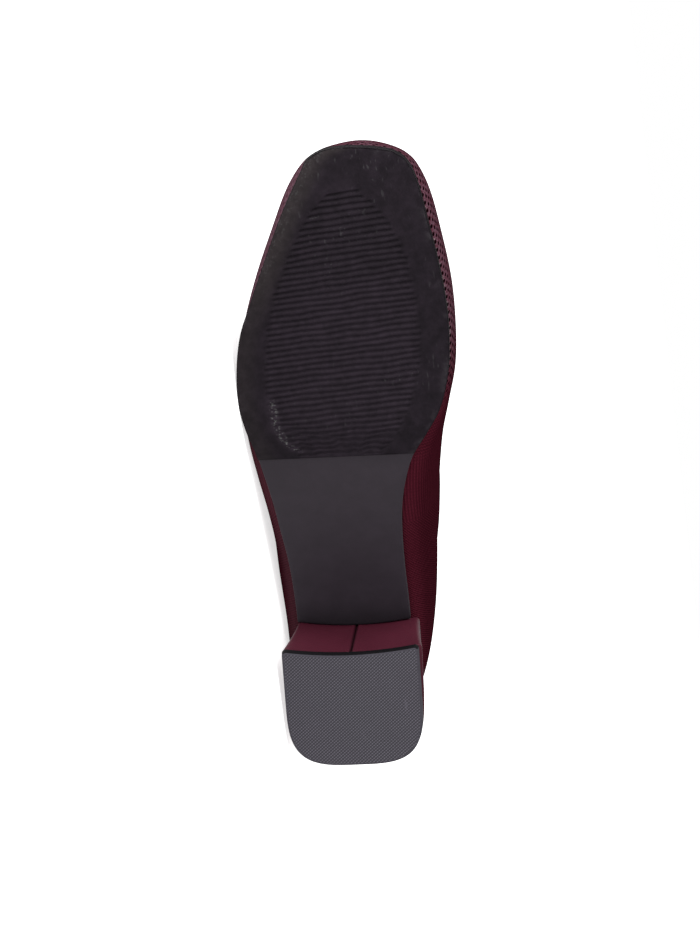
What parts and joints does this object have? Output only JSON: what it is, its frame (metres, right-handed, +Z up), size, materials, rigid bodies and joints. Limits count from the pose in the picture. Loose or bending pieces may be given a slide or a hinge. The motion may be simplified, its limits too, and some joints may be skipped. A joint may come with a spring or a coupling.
{
  "type": "knitted ankle boot",
  "caption": "Right knitted ankle boot with a squared toe and low block heel, lying on its outer side so that its ribbed sole faces forward.",
  "frame": {"origin": "Centre of the bottom of the bounding box, on the floor under the lying boot.", "axes": "+X runs from the toe to the heel, +Y from the sole to the collar, and +Z up from the outer side to the inner side of the foot."},
  "size_m": [0.2534, 0.1532, 0.0868],
  "materials": {
    "knit": "fine burgundy knit, matt",
    "insole_board": "matt",
    "sole": "smooth satin",
    "tread_rubber": "matt, ribbed",
    "heel_cover": "smooth satin",
    "lift_rubber": "fine crosshatch"
  },
  "bodies": {
    "root": {"upper": "knit", "insole": "insole_board", "outsole": "sole", "forefoot_tread": "tread_rubber", "heel": "heel_cover", "heel_lift": "lift_rubber"}
  },
  "joints": []
}
